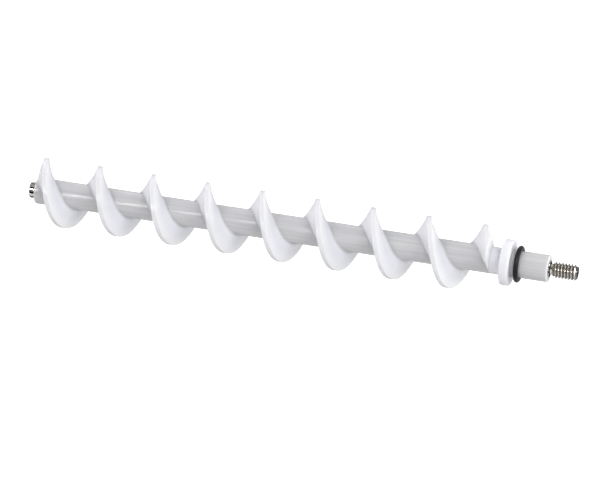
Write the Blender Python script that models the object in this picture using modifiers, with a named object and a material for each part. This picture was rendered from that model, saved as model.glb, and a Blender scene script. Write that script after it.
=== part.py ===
"""Mortar feed auger: a plastic screw moulded on a splined steel rod, with a threaded drive stud.

The auger's axis is the X axis. The origin is the centre of the journal's end face, where the drive
shoulders against the part: the stud stands out towards +X and the flight runs towards -X. The part is
three pieces: the plastic moulding, the steel core rod and the rubber seal ring.
"""
import math

import bmesh
import bpy

MM = 0.001
PART_NAME = "mortar_feed_auger"

# Driving dimensions, in millimetres. Positions are along X.
SHAFT_DIAMETER = 10.7          # plastic hub between the flights, and the journal
HUB_LEFT = -213.4              # free end of the hub
FLIGHT_DIAMETER = 27.2
FLIGHT_PITCH = 23.0            # right-handed
FLIGHT_TOP_X = -25.6           # the crest crosses the top, +Z, here and every pitch before it
FLIGHT_START = -212.9          # the flight is cut square to the axis at both ends
FLIGHT_END = -23.2
FLIGHT_TIP_THICKNESS = 2.0
FLIGHT_ROOT_THICKNESS = 8.4    # wide, hollow-sided root
FLIGHT_FLANK_POWER = 1.3       # how fast the flank narrows from root to tip
COLLAR_DIAMETER = 18.3
COLLAR_LEFT = -18.7
COLLAR_RIGHT = -14.8
COLLAR_EDGE_RADIUS = 0.7
RING_SECTION = 2.1             # O-ring's cord diameter
RING_OUTER_DIAMETER = 14.8
RING_X = -12.25
ROD_CREST_DIAMETER = 6.7       # over the splines
ROD_SPLINE_DEPTH = 0.55
ROD_SPLINES = 10
SPLINE_CREST_SHARE = 0.54      # of a tooth's angle; the rest is its two flanks and the root
SPLINE_ROOT_SHARE = 0.26
SPLINE_TURN = math.radians(7)   # a crest lies this far from the top, +Z, towards +Y
ROD_LEFT = -216.3
ROD_SPLINE_RIGHT = 0.45        # the splined length ends just proud of the journal
NECK_DIAMETER = 4.25           # thread relief
NECK_RIGHT = 1.5
STUD_END = 11.3
THREAD_MAJOR_DIAMETER = 6.35   # 1/4 inch, 20 threads to the inch
THREAD_MINOR_DIAMETER = 4.98
THREAD_PITCH = 1.27
THREAD_CREST_FLAT = THREAD_PITCH / 8
THREAD_HALF_ANGLE = math.radians(30)
THREAD_TOP_X = 2.5             # a thread crest crosses the top here
STUD_CHAMFER = 0.8

# Clearances and small edges, in millimetres.
GAP = 0.3                      # between neighbouring pieces
HUB_EDGE = 0.3                 # broken edge at the hub's ends
SINK = 0.5                     # how far a ridge's base is sunk into the cylinder that carries it
TIP_EDGE = 0.2                 # broken edges along the flight's rim
RIDGE_OVERRUN = 2.2            # length past the trimming faces
BLANK_MARGIN = 0.1             # how much larger than the thread its trimming blank is

# Mesh fineness.
TURNED_STEPS = 36
FLIGHT_STEPS_PER_TURN = 28
THREAD_STEPS_PER_TURN = 20
CORNER_STEPS = 3
RING_SECTION_STEPS = 10
FLANK_STATIONS = (0.2, 0.5)    # heights on the flank, as fractions of the way from root to tip
SHARP_ANGLE = math.radians(35) # an edge that turns more than this isn't shaded smooth
MERGE = 0.00001                # metres


def clear_scene():
    """Remove the objects and collections that a new file starts with."""
    for thing in list(bpy.data.objects):
        bpy.data.objects.remove(thing, do_unlink=True)
    for group in list(bpy.data.collections):
        bpy.data.collections.remove(group)


def new_collection(name):
    """Return a new collection in the scene."""
    group = bpy.data.collections.new(name)
    bpy.context.scene.collection.children.link(group)
    return group


def new_material(name, colour, roughness, metallic):
    """Return a plain Principled material."""
    material = bpy.data.materials.new(name)
    material.use_nodes = True
    shader = material.node_tree.nodes["Principled BSDF"]
    shader.inputs["Base Color"].default_value = (*colour, 1.0)
    shader.inputs["Roughness"].default_value = roughness
    shader.inputs["Metallic"].default_value = metallic
    return material


def new_object(name, bm, group, material=None):
    """Turn a bmesh into an object of the collection."""
    mesh = bpy.data.meshes.new(name)
    bm.to_mesh(mesh)
    bm.free()
    thing = bpy.data.objects.new(name, mesh)
    group.objects.link(thing)
    if material:
        mesh.materials.append(material)
    return thing


def hide_guide(thing):
    """Mark a cutter or a shape that is only joined to another."""
    thing.hide_render = True
    thing.display_type = "WIRE"


def shade_round(thing):
    """Smooth shading with sharp edges kept."""
    thing.data.shade_smooth()
    thing.data.set_sharp_from_angle(angle=SHARP_ANGLE)


def turned(name, outline, group, material=None, steps=TURNED_STEPS):
    """A solid turned about X from (x, radius) points in mm, from the -X end over the outside.

    An outline that starts and ends off the axis is closed into a tube.
    """
    bm = bmesh.new()
    verts = [bm.verts.new((x * MM, 0.0, radius * MM)) for x, radius in outline]
    for first, second in zip(verts, verts[1:]):
        bm.edges.new((first, second))
    if outline[0][1] > 0.0:
        bm.edges.new((verts[-1], verts[0]))
    thing = new_object(name, bm, group, material)
    screw = thing.modifiers.new("Turn", "SCREW")
    screw.axis = "X"
    screw.angle = math.tau
    screw.steps = steps
    screw.render_steps = steps
    screw.use_merge_vertices = True
    screw.merge_threshold = MERGE
    screw.use_smooth_shade = True
    screw.use_normal_flip = True
    return thing


def turned_bar(name, x_left, x_right, radius, group):
    """A plain round bar along X, joined to another piece later."""
    bar = turned(name, [(x_left, 0.0), (x_left, radius), (x_right, radius), (x_right, 0.0)], group)
    hide_guide(bar)
    return bar


def rounded_corner(x, radius, edge, side):
    """Points of a quarter-round corner of a collar; side is -1 for its left edge, +1 for its right."""
    points = []
    for step in range(CORNER_STEPS + 1):
        turn = math.radians(90.0 * step / CORNER_STEPS)
        points.append((x - side * edge * (1 - math.cos(turn)), radius - edge * (1 - math.sin(turn))))
    return points if side < 0 else points[::-1]


def cut_ends(bm, ends):
    """Cut a mesh square to X at the two places in ends, in mm, and cap both cuts."""
    for x, side in zip(ends, (-1, 1)):
        geometry = list(bm.verts) + list(bm.edges) + list(bm.faces)
        bmesh.ops.bisect_plane(
            bm, geom=geometry, dist=MERGE / 10, plane_co=(x * MM, 0.0, 0.0), plane_no=(side, 0.0, 0.0),
            clear_outer=True
        )
    for x in ends:
        rim = [edge for edge in bm.edges if edge.is_boundary]
        rim = [edge for edge in rim if max(abs(vert.co.x - x * MM) for vert in edge.verts) < MERGE]
        bmesh.ops.triangle_fill(bm, edges=rim, use_beauty=True)
    bmesh.ops.recalc_face_normals(bm, faces=bm.faces)


def helix_point(x, offset, radius, pitch, top_x):
    """A point on a right-handed helix about X, in metres, moved along X by the offset."""
    turn = math.tau * (x - top_x) / pitch
    return ((x + offset) * MM, -radius * math.sin(turn) * MM, radius * math.cos(turn) * MM)


def helical_ridge(name, outline, pitch, top_x, ends, steps_per_turn, group):
    """A right-handed ridge swept about X and cut square at both ends.

    The outline is a closed list of (offset along x, radius) in mm, and the ridge's middle crosses the
    top, +Z, at top_x.
    """
    x_first = ends[0] - RIDGE_OVERRUN
    length = ends[1] + RIDGE_OVERRUN - x_first
    steps = math.ceil(length / pitch * steps_per_turn)
    bm = bmesh.new()
    sections = []
    for step in range(steps + 1):
        x = x_first + length * step / steps
        sections.append([bm.verts.new(helix_point(x, *corner, pitch, top_x)) for corner in outline])
    for near, far in zip(sections, sections[1:]):
        for index in range(len(outline)):
            following = (index + 1) % len(outline)
            bm.faces.new((near[index], near[following], far[following], far[index]))
    bm.faces.new(sections[0])
    bm.faces.new(sections[-1])
    cut_ends(bm, ends)
    return new_object(name, bm, group)


def threaded_bar(name, outline, pitch, top_x, ends, steps_per_turn, group):
    """A bar with a right-handed thread round all of it, cut square at both ends.

    The outline is one thread as (offset along x, radius) in mm; its last point and the next thread's
    first one bound the root flat. A column of points runs along the bar at each step of the turn. The
    last column meets the first one, a thread further on.
    """
    first_turn = math.floor((ends[0] - top_x) / pitch) - 1
    last_turn = math.ceil((ends[1] - top_x) / pitch) + 1
    bm = bmesh.new()
    columns = []
    for step in range(steps_per_turn):
        column = []
        for turn in range(first_turn, last_turn + 1):
            x = top_x + (turn + step / steps_per_turn) * pitch
            column += [bm.verts.new(helix_point(x, *corner, pitch, top_x)) for corner in outline]
        columns.append(column)
    columns.append(columns[0][len(outline):])
    for near, far in zip(columns, columns[1:]):
        for row in range(len(far) - 1):
            bm.faces.new((near[row], near[row + 1], far[row + 1], far[row]))
    cut_ends(bm, ends)
    return new_object(name, bm, group)


def boolean(thing, operation, other):
    """Add an exact boolean with another object."""
    modifier = thing.modifiers.new(operation.title(), "BOOLEAN")
    modifier.operation = operation
    modifier.solver = "EXACT"
    modifier.object = other


def flight_outline():
    """The flight's section: a thin rim on hollow flanks that widen to the root."""
    root_radius = SHAFT_DIAMETER / 2
    height = FLIGHT_DIAMETER / 2 - root_radius
    spread = FLIGHT_ROOT_THICKNESS - FLIGHT_TIP_THICKNESS

    def half_thickness(fraction):
        return (FLIGHT_TIP_THICKNESS + spread * (1 - fraction) ** FLIGHT_FLANK_POWER) / 2

    root_slope = spread * FLIGHT_FLANK_POWER / (2 * height)
    flank = [(half_thickness(0.0) + root_slope * SINK, root_radius - SINK)]
    flank += [(half_thickness(fraction), root_radius + fraction * height) for fraction in FLANK_STATIONS]
    rim_fraction = 1 - TIP_EDGE / height
    flank.append((half_thickness(rim_fraction), root_radius + rim_fraction * height))
    flank.append((FLIGHT_TIP_THICKNESS / 2 - TIP_EDGE, FLIGHT_DIAMETER / 2))
    left = [(-offset, radius) for offset, radius in flank]
    return left + flank[::-1]


def thread_outline():
    """One thread's section: a 60 degree ridge with a flat crest."""
    crest = THREAD_MAJOR_DIAMETER / 2
    root = THREAD_MINOR_DIAMETER / 2
    half_crest = THREAD_CREST_FLAT / 2
    half_root = half_crest + (crest - root) * math.tan(THREAD_HALF_ANGLE)
    return [(-half_root, root), (-half_crest, crest), (half_crest, crest), (half_root, root)]


def make_moulding(parts, guides, material):
    """Hub, flight, collar, ring groove and journal, in one piece of plastic round the rod."""
    shaft = SHAFT_DIAMETER / 2
    bore = ROD_CREST_DIAMETER / 2 + GAP
    groove = RING_OUTER_DIAMETER / 2 - RING_SECTION - GAP
    groove_half = RING_SECTION / 2 + GAP
    collar = COLLAR_DIAMETER / 2
    outline = [(HUB_LEFT, bore), (HUB_LEFT, shaft - HUB_EDGE), (HUB_LEFT + HUB_EDGE, shaft)]
    outline += [(COLLAR_LEFT, shaft)]
    outline += rounded_corner(COLLAR_LEFT, collar, COLLAR_EDGE_RADIUS, -1)
    outline += rounded_corner(COLLAR_RIGHT, collar, COLLAR_EDGE_RADIUS, 1)
    outline += [(COLLAR_RIGHT, shaft)]
    outline += [(RING_X - groove_half, shaft), (RING_X - groove_half, groove)]
    outline += [(RING_X + groove_half, groove), (RING_X + groove_half, shaft)]
    outline += [(-HUB_EDGE, shaft), (0.0, shaft - HUB_EDGE), (0.0, bore)]
    moulding = turned("auger_moulding", outline, parts, material)

    flight = helical_ridge(
        "flight_ridge", flight_outline(), FLIGHT_PITCH, FLIGHT_TOP_X, (FLIGHT_START, FLIGHT_END),
        FLIGHT_STEPS_PER_TURN, guides
    )
    hide_guide(flight)
    boolean(moulding, "UNION", flight)
    return moulding


def make_rod(parts, guides, material):
    """Steel rod: splined along the moulding, then a relief neck and a threaded stud."""
    crest = ROD_CREST_DIAMETER / 2
    root = crest - ROD_SPLINE_DEPTH
    tooth = math.tau / ROD_SPLINES
    crest_half = SPLINE_CREST_SHARE / 2
    root_half = SPLINE_ROOT_SHARE / 2
    corners = ((-crest_half, crest), (crest_half, crest), (0.5 - root_half, root), (0.5 + root_half, root))
    bm = bmesh.new()
    outline = []
    for index in range(ROD_SPLINES):
        for share, radius in corners:
            turn = (index + share) * tooth + SPLINE_TURN
            place = (ROD_LEFT * MM, radius * math.sin(turn) * MM, radius * math.cos(turn) * MM)
            outline.append(bm.verts.new(place))
    end_face = bm.faces.new(outline)
    extruded = bmesh.ops.extrude_face_region(bm, geom=[end_face])
    moved = [item for item in extruded["geom"] if isinstance(item, bmesh.types.BMVert)]
    length = (ROD_SPLINE_RIGHT - ROD_LEFT) * MM
    bmesh.ops.translate(bm, verts=moved, vec=(length, 0.0, 0.0))
    bmesh.ops.recalc_face_normals(bm, faces=bm.faces)
    rod = new_object("core_rod", bm, parts, material)

    neck = NECK_DIAMETER / 2
    tip = THREAD_MAJOR_DIAMETER / 2 - STUD_CHAMFER
    neck_bar = turned_bar("neck_bar", ROD_SPLINE_RIGHT - RIDGE_OVERRUN, NECK_RIGHT + SINK, neck, guides)
    boolean(rod, "UNION", neck_bar)

    # The thread is cut from an over-long bar by a turned blank, which chamfers its tip.
    stud = threaded_bar(
        "threaded_stud", thread_outline(), THREAD_PITCH, THREAD_TOP_X, (NECK_RIGHT, STUD_END + SINK),
        THREAD_STEPS_PER_TURN, guides
    )
    hide_guide(stud)
    blank_radius = THREAD_MAJOR_DIAMETER / 2 + BLANK_MARGIN
    blank_outline = [
        (0.0, 0.0), (0.0, blank_radius), (STUD_END - STUD_CHAMFER - BLANK_MARGIN, blank_radius),
        (STUD_END, tip), (STUD_END, 0.0)
    ]
    blank = turned("thread_blank", blank_outline, guides, steps=THREAD_STEPS_PER_TURN)
    hide_guide(blank)
    boolean(stud, "INTERSECT", blank)
    boolean(rod, "UNION", stud)
    return rod


def make_ring(parts, material):
    """Rubber O-ring, a torus about X."""
    middle = (RING_OUTER_DIAMETER - RING_SECTION) / 2
    bpy.ops.mesh.primitive_torus_add(
        major_radius=middle * MM, minor_radius=RING_SECTION / 2 * MM,
        major_segments=TURNED_STEPS, minor_segments=RING_SECTION_STEPS,
        location=(RING_X * MM, 0.0, 0.0), rotation=(0.0, math.radians(90), 0.0)
    )
    ring = bpy.context.active_object
    ring.name = "o_ring"
    ring.data.materials.append(material)
    for group in list(ring.users_collection):
        group.objects.unlink(ring)
    parts.objects.link(ring)
    return ring


def main():
    clear_scene()
    parts = new_collection(PART_NAME)
    guides = new_collection("guides")
    plastic = new_material("white_plastic", (0.80, 0.80, 0.81), 0.42, 0.0)
    steel = new_material("bright_steel", (0.62, 0.60, 0.57), 0.22, 1.0)
    rubber = new_material("black_rubber", (0.015, 0.015, 0.016), 0.45, 0.0)
    moulding = make_moulding(parts, guides, plastic)
    rod = make_rod(parts, guides, steel)
    ring = make_ring(parts, rubber)
    for thing in (moulding, rod, ring):
        shade_round(thing)


main()
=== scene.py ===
"""The finished look of the mortar feed auger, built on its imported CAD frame.

Everything is in the frame's space: the auger's axis is X, the journal's end face is at the origin and the
threaded stud stands out towards +X. Each of the three CAD solids is replaced by a fine mesh of the same
size. Lengths in this file are in millimetres until they reach Blender.
"""
import math

import bmesh
import bpy
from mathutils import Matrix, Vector


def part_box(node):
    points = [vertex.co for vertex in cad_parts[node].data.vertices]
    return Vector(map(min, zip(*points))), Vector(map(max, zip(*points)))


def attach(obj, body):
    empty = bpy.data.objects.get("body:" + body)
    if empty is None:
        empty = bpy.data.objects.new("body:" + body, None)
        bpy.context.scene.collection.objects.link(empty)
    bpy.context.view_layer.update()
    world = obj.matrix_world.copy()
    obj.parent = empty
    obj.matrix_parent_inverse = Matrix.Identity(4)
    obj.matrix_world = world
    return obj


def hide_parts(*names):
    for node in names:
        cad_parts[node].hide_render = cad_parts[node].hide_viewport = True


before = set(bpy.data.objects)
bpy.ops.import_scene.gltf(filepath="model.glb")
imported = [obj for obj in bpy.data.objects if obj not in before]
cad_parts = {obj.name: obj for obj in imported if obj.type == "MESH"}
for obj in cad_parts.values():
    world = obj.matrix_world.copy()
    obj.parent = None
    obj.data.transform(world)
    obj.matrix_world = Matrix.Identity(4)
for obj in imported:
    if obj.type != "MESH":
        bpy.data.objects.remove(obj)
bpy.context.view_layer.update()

MM = 0.001


def low_high(node):
    """A CAD node's lowest and highest corners, in millimetres."""
    low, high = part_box(node)
    return low / MM, high / MM


MOULDING_LOW, MOULDING_HIGH = low_high("auger_moulding")
ROD_LOW, ROD_HIGH = low_high("core_rod")
RING_LOW, RING_HIGH = low_high("o_ring")

# Moulding.
HUB_LEFT = MOULDING_LOW.x
JOURNAL_END = MOULDING_HIGH.x
HUB_RADIUS = 5.35
HUB_EDGE = 0.3                 # radius of the hub's and the journal's rounded ends
FLIGHT_RADIUS = MOULDING_HIGH.z
FLIGHT_PITCH = 23.0
FLIGHT_TOP_X = -25.6           # the rim crosses the top, +Z, here and every pitch before it
FLIGHT_START = -212.9          # the flight is cut square to the axis at both ends
FLIGHT_END = -23.2
FLIGHT_TIP_THICKNESS = 2.0
FLIGHT_ROOT_THICKNESS = 8.4
FLIGHT_FLANK_POWER = 1.3       # how fast the flank narrows from root to tip
FLIGHT_RIM_EDGE = 0.35         # radius of the rim's rounded edges
FLIGHT_FILLET = 0.6            # length of the fillet along the hub, and up the flank
COLLAR_RADIUS = 9.15
COLLAR_LEFT = -18.7
COLLAR_RIGHT = -14.8
COLLAR_EDGE = 0.7
COLLAR_FILLET = 0.5
GROOVE_RADIUS = 5.25
GROOVE_HALF_WIDTH = 1.15
GROOVE_EDGE = 0.1

# Seal ring.
RING_X = (RING_LOW.x + RING_HIGH.x) / 2
RING_OUTER_RADIUS = RING_HIGH.z
RING_CORD_RADIUS = 1.05
RING_FLASH = 0.05              # height of the mould line along its inner and outer rims

# Rod.
ROD_LEFT = ROD_LOW.x
STUD_END = ROD_HIGH.x
SPLINE_RADIUS = 3.35
SPLINE_DEPTH = 0.55
SPLINES = 10
SPLINE_TURN = math.radians(7)  # a crest lies this far from the top, +Z, towards +Y
SPLINE_CREST_HALF = 0.27       # shares of a tooth: half the crest, and where the root starts and ends
SPLINE_ROOT_START = 0.37
SPLINE_ROOT_END = 1 - SPLINE_ROOT_START
SPLINE_RIGHT = 0.45
SPLINE_CHAMFER = 0.25
NECK_RADIUS = 2.125
NECK_RIGHT = 1.5
THREAD_RADIUS = 3.175
THREAD_ROOT_RADIUS = 2.45
THREAD_PITCH = 1.27
THREAD_TOP_X = 2.5             # a thread's crest crosses the top, +Z, here
THREAD_FLANK = math.radians(30)
THREAD_CREST_FLAT = THREAD_PITCH / 8
THREAD_ROOT_BLEND = 0.12       # height of the rounding between root and flank
THREAD_CREST_EDGE = 0.03       # and of the broken edge at the crest
STUD_CHAMFER = 0.8
THREAD_START_STEP = 0.25       # the first thread rises from this far above the neck
THREAD_START_SLOPE = 1.2
SKIN_GAP = 0.02                # between the plastic and the steel it is moulded on

# Looks that change with the distance from the axis, each from a first radius to a second.
WALL_OVER_STEEL = (5.38, 6.4)  # the steel darkens the plastic up to the first
BLADE_PAINTED_LIGHT = (9.0, 12.5)       # painted light: the flight grows lighter as it thins, for light shining through it
RIM_PAINTED_SHADE = (13.35, 13.5)     # and painted shade makes its rim darker
THREAD_HOLLOW_SHADE = (2.5, 2.8)        # painted shade, near black, fills the hollows up to the first, and the second is clear of it
SPLINE_GROOVE_SHADE = (2.9, 3.25)
THREAD_SHADE_SHARE = 0.65
SPLINE_SHADE_SHARE = 1.0
JOURNAL_LIT_LIP = 0.3              # painted light: the plain colour, not the steel's grey, this near the journal's end face
WALL_BLEND = 0.4               # lengths along X over which the looks change
HOLLOW_SHADE_BLEND = 0.05

# Studio, in metres and watts.
CAMERA_PLACE = Vector((0.22594, -1.08547, 0.66842))
CAMERA_TARGET = Vector((-0.10233, 0.00124, -0.005155))
CAMERA_LENS = 198              # millimetres, on a sensor 36 mm wide
CAMERA_SENSOR = 36
CAMERA_CLIP = 0.01
FLOOR_Z = -0.09
FLOOR_HALF_WIDTH = 6.0
FLOOR_GLOW = 0.8               # what the camera alone sees the floor give off
WORLD_FRONT = 0.0              # strength of the light from the front, -Y, and from the back
WORLD_BACK = 0.7
AUGER_MIDDLE = (-0.1, 0.0, 0.0)
LAMPS = (                      # name, azimuth, elevation, size, power
    ("key", 48, 41, (0.7, 0.7), 6.2),
    ("left", -88, 30, (0.7, 0.7), 3.6),
    ("back_left", -135, 35, (0.7, 0.7), 1.0),
    ("low_front", 0, 12, (0.8, 0.5), 0.9),
    ("right", 105, 8, (0.7, 0.4), 3.8),
    ("gloss", -27, 31, (0.2, 0.2), 1.7),
)

# Mesh fineness.
TURN_STEPS = 144
THREAD_TURN_STEPS = 72
FLANK_STEPS = 10
ARC_STEPS = 5
RING_TURN_STEPS = 120
RING_CORD_STEPS = 28
SPLINE_STEPS = 4
SHARP_ANGLE = math.radians(38)
WELD = 0.00001                 # metres


# ---------------------------------------------------------------- mesh helpers

def polar(x, radius, turn):
    """The point at an angle round the axis, in metres. A growing turn goes from +Z towards -Y."""
    return Vector((x * MM, -radius * math.sin(turn) * MM, radius * math.cos(turn) * MM))


def arc(centre, radius, start, end, steps):
    """Points on an arc in the (x, radius) plane, from one angle in degrees to another."""
    points = []
    for step in range(steps + 1):
        angle = math.radians(start + (end - start) * step / steps)
        points.append((centre[0] + radius * math.cos(angle), centre[1] + radius * math.sin(angle)))
    return points


def bend(first, corner, last, steps):
    """Points on the quadratic curve that rounds off a corner, both ends included."""
    points = []
    for step in range(steps + 1):
        t = step / steps
        weights = ((1 - t) ** 2, 2 * t * (1 - t), t ** 2)
        points.append(tuple(
            sum(weight * point[axis] for weight, point in zip(weights, (first, corner, last)))
            for axis in (0, 1)
        ))
    return points


def helical_skin(outline, pitch, top_x, ends, steps):
    """The surface of a screw, swept about X and cut square at both ends, which stay open.

    The outline is one turn of the screw as (offset along x, radius), and it spans less than a pitch. Each
    turn's outline is joined to the next one's.
    """
    first_turn = math.floor((ends[0] - top_x) / pitch) - 1
    last_turn = math.ceil((ends[1] - top_x) / pitch) + 1
    bm = bmesh.new()
    columns = []
    for step in range(steps):
        turn = math.tau * step / steps
        column = []
        for number in range(first_turn, last_turn + 1):
            x = top_x + (number + step / steps) * pitch
            column += [bm.verts.new(polar(x + offset, radius, turn)) for offset, radius in outline]
        columns.append(column)
    columns.append(columns[0][len(outline):])
    for near, far in zip(columns, columns[1:]):
        for row in range(len(far) - 1):
            bm.faces.new((near[row], near[row + 1], far[row + 1], far[row]))
    for x, side in zip(ends, (-1, 1)):
        geometry = list(bm.verts) + list(bm.edges) + list(bm.faces)
        bmesh.ops.bisect_plane(
            bm, geom=geometry, dist=WELD / 10, plane_co=(x * MM, 0, 0), plane_no=(side, 0, 0),
            clear_outer=True
        )
    return bm


def open_rim(bm, x):
    """The open edge loop at a place along X, as a list of corners in order round the axis."""
    edges = [edge for edge in bm.edges if edge.is_boundary]
    edges = [edge for edge in edges if max(abs(vert.co.x - x * MM) for vert in edge.verts) < WELD]
    follow = {}
    for edge in edges:
        for vert in edge.verts:
            follow.setdefault(vert, []).append(edge.other_vert(vert))
    loop = [edges[0].verts[0], follow[edges[0].verts[0]][0]]
    while True:
        ahead = [vert for vert in follow[loop[-1]] if vert is not loop[-2]]
        if ahead[0] is loop[0]:
            return loop
        loop.append(ahead[0])


def step_down(bm, loop, x, radius):
    """Close the end face between a rim and the round bar inside it, and return the bar's own loop."""
    inner = []
    for vert in loop:
        height = math.hypot(vert.co.y, vert.co.z) / MM
        if height < radius + SKIN_GAP:
            inner.append(vert)
        else:
            turn = math.atan2(-vert.co.y, vert.co.z)
            inner.append(bm.verts.new(polar(x, radius, turn)))
    for index in range(len(loop)):
        following = (index + 1) % len(loop)
        corners = [loop[index], loop[following], inner[following], inner[index]]
        kept = list(dict.fromkeys(corners))
        if len(kept) > 2:
            bm.faces.new(kept)
    return inner


def turn_along(bm, loop, profile):
    """Carry a loop on through (x, radius) points, keeping each corner's angle. Returns the last loop."""
    for x, radius in profile:
        following = []
        for vert in loop:
            turn = math.atan2(-vert.co.y, vert.co.z)
            following.append(bm.verts.new(polar(x, radius, turn)))
        bridge(bm, loop, following)
        loop = following
    return loop


def bridge(bm, near, far):
    """Faces between two loops with the same number of corners."""
    for index in range(len(near)):
        following = (index + 1) % len(near)
        bm.faces.new((near[index], near[following], far[following], far[index]))


def new_loop(bm, points):
    """A closed loop of edges through the points."""
    verts = [bm.verts.new(point) for point in points]
    for index in range(len(verts)):
        bm.edges.new((verts[index - 1], verts[index]))
    return verts


def loop_edges(bm, *loops):
    """The edges that run along the loops."""
    edges = []
    for loop in loops:
        edges += [bm.edges.get((loop[index - 1], loop[index])) for index in range(len(loop))]
    return edges


def fill_between(bm, *loops):
    """A flat face between an outer and an inner loop, or inside a single one."""
    bmesh.ops.triangle_fill(bm, edges=loop_edges(bm, *loops), use_beauty=True)


def finish_mesh(name, bm, material):
    """Turn a bmesh into an object with smooth shading and sharp edges kept."""
    bmesh.ops.recalc_face_normals(bm, faces=bm.faces)
    mesh = bpy.data.meshes.new(name)
    bm.to_mesh(mesh)
    bm.free()
    mesh.shade_smooth()
    mesh.set_sharp_from_angle(angle=SHARP_ANGLE)
    mesh.materials.append(material)
    thing = bpy.data.objects.new(name, mesh)
    bpy.context.scene.collection.objects.link(thing)
    return thing


# ---------------------------------------------------------------- shapes

def flight_outline():
    """One turn of hub and flight: fillet, hollow flank and rounded rim, mirrored about the rim."""
    height = FLIGHT_RADIUS - HUB_RADIUS
    spread = FLIGHT_ROOT_THICKNESS - FLIGHT_TIP_THICKNESS

    def flank_point(fraction):
        half = (FLIGHT_TIP_THICKNESS + spread * (1 - fraction) ** FLIGHT_FLANK_POWER) / 2
        return (half, HUB_RADIUS + fraction * height)

    fillet_top = FLIGHT_FILLET / height
    rim_start = 1 - FLIGHT_RIM_EDGE / height
    root = flank_point(0)
    side = bend((root[0] + FLIGHT_FILLET, HUB_RADIUS), root, flank_point(fillet_top), ARC_STEPS)
    for step in range(1, FLANK_STEPS):
        side.append(flank_point(fillet_top + (rim_start - fillet_top) * step / FLANK_STEPS))
    corner = (flank_point(rim_start)[0] - FLIGHT_RIM_EDGE, FLIGHT_RADIUS - FLIGHT_RIM_EDGE)
    side += arc(corner, FLIGHT_RIM_EDGE, 0, 90, ARC_STEPS)
    left = [(-offset, radius) for offset, radius in side]
    return left + side[::-1]


def collar_profile():
    """Everything to the right of the flight: collar, ring groove and journal."""
    profile = bend(
        (COLLAR_LEFT - COLLAR_FILLET, HUB_RADIUS), (COLLAR_LEFT, HUB_RADIUS),
        (COLLAR_LEFT, HUB_RADIUS + COLLAR_FILLET), ARC_STEPS
    )
    top = COLLAR_RADIUS - COLLAR_EDGE
    profile += arc((COLLAR_LEFT + COLLAR_EDGE, top), COLLAR_EDGE, 180, 90, ARC_STEPS)
    profile += arc((COLLAR_RIGHT - COLLAR_EDGE, top), COLLAR_EDGE, 90, 0, ARC_STEPS)
    profile += [(COLLAR_RIGHT, HUB_RADIUS)]
    for side in (-1, 1):
        wall = RING_X + side * GROOVE_HALF_WIDTH
        lip = bend(
            (wall + side * GROOVE_EDGE, HUB_RADIUS), (wall, HUB_RADIUS),
            (wall, HUB_RADIUS - GROOVE_EDGE), ARC_STEPS
        )
        wall_points = lip + [(wall, GROOVE_RADIUS)]
        profile += wall_points if side < 0 else wall_points[::-1]
    edge_centre = (JOURNAL_END - HUB_EDGE, HUB_RADIUS - HUB_EDGE)
    profile += arc(edge_centre, HUB_EDGE, 90, 0, ARC_STEPS)
    return profile


def spline_outline(x, gap=0.0, inset=0.0):
    """The rod's toothed outline at a place along X, grown by the gap or drawn in by the inset."""
    crest = SPLINE_RADIUS + gap - inset
    root = SPLINE_RADIUS - SPLINE_DEPTH + gap
    tooth = math.tau / SPLINES
    stations = (
        (-SPLINE_CREST_HALF, crest), (SPLINE_CREST_HALF, crest),
        (SPLINE_ROOT_START, root), (SPLINE_ROOT_END, root), (1 - SPLINE_CREST_HALF, crest),
    )
    corners = [(share * tooth, min(radius, crest)) for share, radius in stations]
    points = []
    for number in range(SPLINES):
        for first, second in zip(corners, corners[1:]):
            for step in range(SPLINE_STEPS):
                t = step / SPLINE_STEPS
                turn = first[0] + (second[0] - first[0]) * t + number * tooth - SPLINE_TURN
                radius = first[1] + (second[1] - first[1]) * (3 * t * t - 2 * t ** 3)
                points.append(polar(x, radius, turn))
    return points


def make_screw(material):
    """The plastic moulding: hub, flight, collar, ring groove and journal."""
    bm = helical_skin(
        flight_outline(), FLIGHT_PITCH, FLIGHT_TOP_X, (FLIGHT_START, FLIGHT_END), TURN_STEPS
    )
    left = step_down(bm, open_rim(bm, FLIGHT_START), FLIGHT_START, HUB_RADIUS)
    right = step_down(bm, open_rim(bm, FLIGHT_END), FLIGHT_END, HUB_RADIUS)
    left_edge = arc((HUB_LEFT + HUB_EDGE, HUB_RADIUS - HUB_EDGE), HUB_EDGE, 90, 180, ARC_STEPS)
    left = turn_along(bm, left, left_edge)
    right = turn_along(bm, right, collar_profile())
    bore_left = new_loop(bm, spline_outline(HUB_LEFT, gap=SKIN_GAP))
    bore_right = new_loop(bm, spline_outline(JOURNAL_END, gap=SKIN_GAP))
    fill_between(bm, left, bore_left)
    fill_between(bm, right, bore_right)
    bridge(bm, bore_left, bore_right)
    return finish_mesh("feed_screw", bm, material)


def thread_outline():
    """One thread: 60 degree flanks, a flat crest and a rounded root."""
    half_crest = THREAD_CREST_FLAT / 2
    height = THREAD_RADIUS - THREAD_ROOT_RADIUS
    half_root = half_crest + height * math.tan(THREAD_FLANK)
    flank_start = half_root - THREAD_ROOT_BLEND * math.tan(THREAD_FLANK)
    side = bend(
        (half_root + THREAD_ROOT_BLEND / 2, THREAD_ROOT_RADIUS), (half_root, THREAD_ROOT_RADIUS),
        (flank_start, THREAD_ROOT_RADIUS + THREAD_ROOT_BLEND), ARC_STEPS
    )
    side.append((half_crest + THREAD_CREST_EDGE * 2 / 3, THREAD_RADIUS - THREAD_CREST_EDGE))
    side.append((half_crest - THREAD_CREST_EDGE / 3, THREAD_RADIUS))
    left = [(-offset, radius) for offset, radius in side]
    return left + side[::-1]


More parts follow.
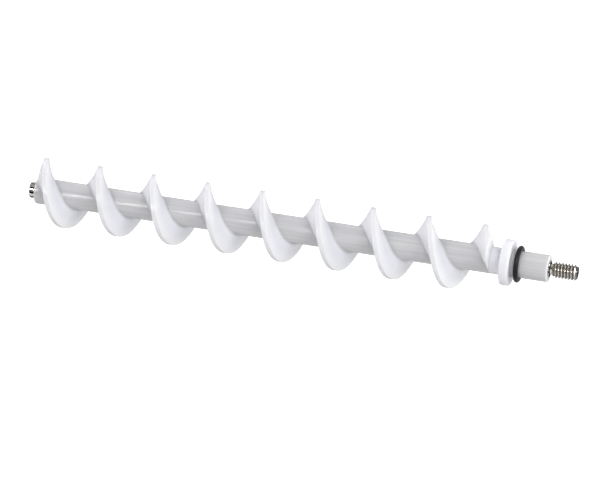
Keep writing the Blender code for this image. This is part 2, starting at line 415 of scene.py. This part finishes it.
def make_rod(material):
    """Steel rod: chamfered splined end, relief neck and chamfered threaded stud."""
    bm = helical_skin(
        thread_outline(), THREAD_PITCH, THREAD_TOP_X, (NECK_RIGHT, STUD_END), THREAD_TURN_STEPS
    )
    for vert in bm.verts:
        height = math.hypot(vert.co.y, vert.co.z) / MM
        x = vert.co.x / MM
        limit = THREAD_RADIUS - max(0.0, x - (STUD_END - STUD_CHAMFER))
        start = NECK_RADIUS + THREAD_START_STEP + THREAD_START_SLOPE * (x - NECK_RIGHT)
        limit = min(limit, start)
        if height > limit:
            vert.co.y *= limit / height
            vert.co.z *= limit / height
    neck_end = open_rim(bm, NECK_RIGHT)
    tip = open_rim(bm, STUD_END)
    fill_between(bm, tip)
    neck_right = new_loop(bm, [
        polar(NECK_RIGHT, NECK_RADIUS, math.tau * step / THREAD_TURN_STEPS)
        for step in range(THREAD_TURN_STEPS)
    ])
    fill_between(bm, neck_end, neck_right)
    neck_left = turn_along(bm, neck_right, [(SPLINE_RIGHT, NECK_RADIUS)])
    body = [
        new_loop(bm, spline_outline(SPLINE_RIGHT, inset=SPLINE_CHAMFER)),
        new_loop(bm, spline_outline(SPLINE_RIGHT - SPLINE_CHAMFER)),
        new_loop(bm, spline_outline(ROD_LEFT + SPLINE_CHAMFER)),
        new_loop(bm, spline_outline(ROD_LEFT, inset=SPLINE_CHAMFER)),
    ]
    fill_between(bm, neck_left, body[0])
    for near, far in zip(body, body[1:]):
        bridge(bm, near, far)
    fill_between(bm, body[-1])
    return finish_mesh("splined_rod", bm, material)


def make_ring(material):
    """Rubber seal ring with a fine mould line round its inner and outer rims."""
    middle = RING_OUTER_RADIUS - RING_CORD_RADIUS
    bm = bmesh.new()
    loops = []
    for step in range(RING_CORD_STEPS):
        angle = math.tau * step / RING_CORD_STEPS
        flash = RING_FLASH if step in (0, RING_CORD_STEPS // 2) else 0.0
        cord = RING_CORD_RADIUS - RING_FLASH + flash
        x = RING_X + cord * math.sin(angle)
        radius = middle + cord * math.cos(angle)
        loops.append([
            bm.verts.new(polar(x, radius, math.tau * turn / RING_TURN_STEPS))
            for turn in range(RING_TURN_STEPS)
        ])
    for index in range(RING_CORD_STEPS):
        bridge(bm, loops[index - 1], loops[index])
    return finish_mesh("seal_ring", bm, material)


# ---------------------------------------------------------------- materials

class Nodes:
    """Short calls for adding and linking shader nodes in a new material."""

    def __init__(self, name):
        self.material = bpy.data.materials.new(name)
        self.material.use_nodes = True
        self.tree = self.material.node_tree
        self.shader = self.tree.nodes["Principled BSDF"]
        self.place = self.add("ShaderNodeTexCoord").outputs["Object"]

    def add(self, kind, **settings):
        node = self.tree.nodes.new(kind)
        for key, value in settings.items():
            setattr(node, key, value)
        return node

    def link(self, output, socket):
        self.tree.links.new(output, socket)

    def stretched(self, scale):
        """Object coordinates multiplied by a scale for each axis."""
        mapping = self.add("ShaderNodeMapping")
        mapping.inputs["Scale"].default_value = scale
        self.link(self.place, mapping.inputs["Vector"])
        return mapping.outputs["Vector"]

    def noise(self, scale, detail=4.0, vector=None):
        node = self.add("ShaderNodeTexNoise")
        node.inputs["Scale"].default_value = scale
        node.inputs["Detail"].default_value = detail
        self.link(vector or self.place, node.inputs["Vector"])
        return node.outputs["Fac"]

    def ramp(self, factor, low, high):
        """Map a factor onto a range between two positions, clamped."""
        node = self.add("ShaderNodeMapRange")
        node.inputs["From Min"].default_value = low[0]
        node.inputs["From Max"].default_value = high[0]
        node.inputs["To Min"].default_value = low[1]
        node.inputs["To Max"].default_value = high[1]
        self.link(factor, node.inputs["Value"])
        return node.outputs["Result"]

    def mix(self, factor, first, second):
        """Mix two colours, each a colour or an output."""
        node = self.add("ShaderNodeMix", data_type="RGBA")
        self.link(factor, node.inputs["Factor"])
        for socket, value in zip((node.inputs[6], node.inputs[7]), (first, second)):
            if isinstance(value, tuple):
                socket.default_value = (*value, 1.0)
            else:
                self.link(value, socket)
        return node.outputs[2]

    def math(self, operation, *values):
        node = self.add("ShaderNodeMath", operation=operation)
        for socket, value in zip(node.inputs, values):
            if isinstance(value, (int, float)):
                socket.default_value = value
            else:
                self.link(value, socket)
        return node.outputs["Value"]

    def radial(self, limits, first=0, second=1):
        """From one value to another, between two distances from the auger's axis in millimetres."""
        parts = self.add("ShaderNodeSeparateXYZ")
        self.link(self.place, parts.inputs["Vector"])
        squares = [self.math("MULTIPLY", parts.outputs[axis], parts.outputs[axis]) for axis in "YZ"]
        radius = self.math("SQRT", self.math("ADD", *squares))
        return self.ramp(radius, (limits[0] * MM, first), (limits[1] * MM, second))

    def between(self, low, high, blend):
        """1 between two places along X and 0 outside, blended at both ends, all in millimetres."""
        parts = self.add("ShaderNodeSeparateXYZ")
        self.link(self.place, parts.inputs["Vector"])
        half = blend / 2
        rise = self.ramp(parts.outputs["X"], ((low - half) * MM, 0), ((low + half) * MM, 1))
        fall = self.ramp(parts.outputs["X"], ((high - half) * MM, 1), ((high + half) * MM, 0))
        return self.math("MULTIPLY", rise, fall)

    def bump(self, height, distance, strength=1.0):
        node = self.add("ShaderNodeBump")
        node.inputs["Strength"].default_value = strength
        node.inputs["Distance"].default_value = distance
        self.link(height, node.inputs["Height"])
        self.link(node.outputs["Normal"], self.shader.inputs["Normal"])

    def set(self, **values):
        """Set plain values on the shader; an underscore stands for a space."""
        for key, value in values.items():
            self.shader.inputs[key.replace("_", " ")].default_value = value


def white_plastic():
    """Natural white moulded plastic: cloudy and glossy, greyer where the steel is close behind it, with
    painted light and shade.
    """
    nodes = Nodes("white_plastic")
    cloud = nodes.noise(90, detail=3)
    grain = nodes.noise(2600, detail=5)
    flow = nodes.noise(1, detail=4, vector=nodes.stretched((25, 900, 900)))
    thick_and_painted_light = nodes.radial(WALL_OVER_STEEL)
    # Painted light: the hub from the flight's end to the collar, and the journal next to its end face,
    # take the plain colour instead of the steel's grey, which lifts their shade.
    for low, high in ((FLIGHT_END, COLLAR_RIGHT), (JOURNAL_END - JOURNAL_LIT_LIP, JOURNAL_END + JOURNAL_LIT_LIP)):
        thick_and_painted_light = nodes.math("MAXIMUM", thick_and_painted_light, nodes.between(low, high, WALL_BLEND))
    streak = nodes.ramp(flow, (0.35, 0), (0.65, 1))
    over_steel = nodes.mix(streak, (0.58, 0.58, 0.60), (0.65, 0.65, 0.665))
    solid = nodes.mix(nodes.ramp(cloud, (0.35, 0), (0.65, 1)), (0.82, 0.82, 0.87), (0.84, 0.84, 0.885))
    # Painted light: the flight's thin outer part is lighter, for light shining through the blade.
    solid = nodes.mix(nodes.radial(BLADE_PAINTED_LIGHT), solid, (0.90, 0.90, 0.945))
    # Painted shade: the flight's rim is darker.
    solid = nodes.mix(nodes.radial(RIM_PAINTED_SHADE), solid, (0.74, 0.74, 0.77))
    nodes.link(nodes.mix(thick_and_painted_light, over_steel, solid), nodes.shader.inputs["Base Color"])
    nodes.link(nodes.ramp(grain, (0.35, 0.17), (0.65, 0.27)), nodes.shader.inputs["Roughness"])
    nodes.bump(nodes.math("ADD", nodes.math("MULTIPLY", grain, 0.3), flow), 0.00002)
    nodes.set(IOR=1.49, Subsurface_Weight=1.0, Subsurface_Scale=0.003)
    nodes.shader.inputs["Subsurface Radius"].default_value = (1.0, 1.0, 1.0)
    return nodes.material


def bright_steel():
    """Drawn and machined steel: fine turning marks, and painted shade, near black, in the thread's roots
    and the grooves.
    """
    nodes = Nodes("bright_steel")
    rings = nodes.noise(1, detail=4, vector=nodes.stretched((9000, 300, 300)))
    stain = nodes.noise(700, detail=4)
    stained_steel = nodes.mix(nodes.ramp(stain, (0.4, 0), (0.7, 1)), (0.84, 0.80, 0.75), (0.70, 0.66, 0.61))
    # Painted shade: the thread's roots and the spline grooves are darkened towards near black.
    shaded_hollows = []
    for low, high, limits, share in (
        (ROD_LEFT + HOLLOW_SHADE_BLEND, SPLINE_RIGHT, SPLINE_GROOVE_SHADE, SPLINE_SHADE_SHARE),
        (NECK_RIGHT, STUD_END - HOLLOW_SHADE_BLEND, THREAD_HOLLOW_SHADE, THREAD_SHADE_SHARE),
    ):
        hollow_shade = nodes.radial(limits, share, 0)
        shaded_hollows.append(nodes.math("MULTIPLY", hollow_shade, nodes.between(low, high, HOLLOW_SHADE_BLEND)))
    # Mix in the painted shade's near black.
    colour = nodes.mix(nodes.math("ADD", *shaded_hollows), stained_steel, (0.02, 0.018, 0.016))
    nodes.link(colour, nodes.shader.inputs["Base Color"])
    nodes.link(nodes.ramp(rings, (0.3, 0.08), (0.7, 0.18)), nodes.shader.inputs["Roughness"])
    nodes.bump(rings, 0.00001)
    # The dark edge tint paints shade into the steel's reflections at grazing angles, near its outline.
    nodes.set(Metallic=1.0, Specular_Tint=(0.05, 0.05, 0.05, 1.0))
    return nodes.material


def black_rubber():
    """Black nitrile rubber with a faint bloom and a film of grease."""
    nodes = Nodes("black_rubber")
    bloom = nodes.noise(900, detail=5)
    patch = nodes.ramp(bloom, (0.45, 0), (0.75, 1))
    colour = nodes.mix(patch, (0.004, 0.004, 0.004), (0.012, 0.011, 0.011))
    nodes.link(colour, nodes.shader.inputs["Base Color"])
    nodes.link(nodes.ramp(bloom, (0.35, 0.28), (0.7, 0.5)), nodes.shader.inputs["Roughness"])
    nodes.bump(nodes.noise(5000, detail=3), 0.00001)
    nodes.set(Specular_IOR_Level=0.3)
    return nodes.material


def pale_floor():
    """Plain white studio paper."""
    nodes = Nodes("studio_floor")
    fibre = nodes.noise(40, detail=4)
    colour = nodes.mix(fibre, (0.59, 0.59, 0.59), (0.61, 0.61, 0.61))
    nodes.link(colour, nodes.shader.inputs["Base Color"])
    nodes.set(Roughness=0.9, Specular_IOR_Level=0.1, Emission_Color=(1, 1, 1, 1))
    seen = nodes.add("ShaderNodeLightPath").outputs["Is Camera Ray"]
    nodes.link(nodes.math("MULTIPLY", seen, FLOOR_GLOW), nodes.shader.inputs["Emission Strength"])
    return nodes.material


# ---------------------------------------------------------------- studio

def aim(thing, target):
    """Turn a camera or lamp so that its -Z axis points at the target."""
    direction = Vector(target) - thing.location
    thing.rotation_euler = direction.to_track_quat("-Z", "Y").to_euler()


def add_camera():
    camera = bpy.data.objects.new("camera", bpy.data.cameras.new("camera"))
    camera.data.lens = CAMERA_LENS
    camera.data.sensor_width = CAMERA_SENSOR
    camera.location = CAMERA_PLACE
    camera.data.clip_start = CAMERA_CLIP
    bpy.context.scene.collection.objects.link(camera)
    aim(camera, CAMERA_TARGET)
    bpy.context.scene.camera = camera


def add_lamp(name, azimuth, elevation, size, power):
    """A soft rectangular lamp a metre from the auger's middle, in watts, aimed at it.

    The azimuth is in degrees from the front, -Y, towards +X, and the elevation is above the horizon.
    """
    data = bpy.data.lights.new(name, "AREA")
    data.shape = "RECTANGLE"
    data.size, data.size_y = size
    data.energy = power
    lamp = bpy.data.objects.new(name, data)
    around = math.radians(azimuth)
    above = math.radians(elevation)
    level = math.cos(above)
    direction = Vector((math.sin(around) * level, -math.cos(around) * level, math.sin(above)))
    lamp.location = Vector(AUGER_MIDDLE) + direction
    bpy.context.scene.collection.objects.link(lamp)
    aim(lamp, AUGER_MIDDLE)


def add_floor():
    bm = bmesh.new()
    bmesh.ops.create_grid(bm, x_segments=8, y_segments=8, size=FLOOR_HALF_WIDTH)
    floor = finish_mesh("floor", bm, pale_floor())
    floor.location.z = FLOOR_Z


def add_world():
    """Soft light from all round, with one strength from the front, -Y, and another from the back.

    A camera sees it plain white.
    """
    world = bpy.data.worlds.new("studio")
    world.use_nodes = True
    tree = world.node_tree
    place = tree.nodes.new("ShaderNodeTexCoord").outputs["Generated"]
    parts = tree.nodes.new("ShaderNodeSeparateXYZ")
    tree.links.new(place, parts.inputs["Vector"])
    blend = tree.nodes.new("ShaderNodeMapRange")
    blend.inputs["From Min"].default_value = -1
    blend.inputs["From Max"].default_value = 1
    blend.inputs["To Min"].default_value = WORLD_FRONT
    blend.inputs["To Max"].default_value = WORLD_BACK
    tree.links.new(parts.outputs["Y"], blend.inputs["Value"])
    seen = tree.nodes.new("ShaderNodeLightPath").outputs["Is Camera Ray"]
    strength = tree.nodes.new("ShaderNodeMath")
    strength.operation = "MAXIMUM"
    tree.links.new(seen, strength.inputs[0])
    tree.links.new(blend.outputs["Result"], strength.inputs[1])
    background = tree.nodes["Background"]
    background.inputs["Color"].default_value = (1, 1, 1, 1)
    tree.links.new(strength.outputs["Value"], background.inputs["Strength"])
    bpy.context.scene.world = world


def main():
    screw = make_screw(white_plastic())
    rod = make_rod(bright_steel())
    ring = make_ring(black_rubber())
    for piece, node, slot in (
        (screw, "auger_moulding", "white_plastic"),
        (rod, "core_rod", "bright_steel"),
        (ring, "o_ring", "black_rubber"),
    ):
        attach(piece, "root")
        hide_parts(node)

    bpy.context.scene.view_settings.view_transform = "Standard"
    add_camera()
    add_floor()
    add_world()
    for lamp in LAMPS:
        add_lamp(*lamp)


main()
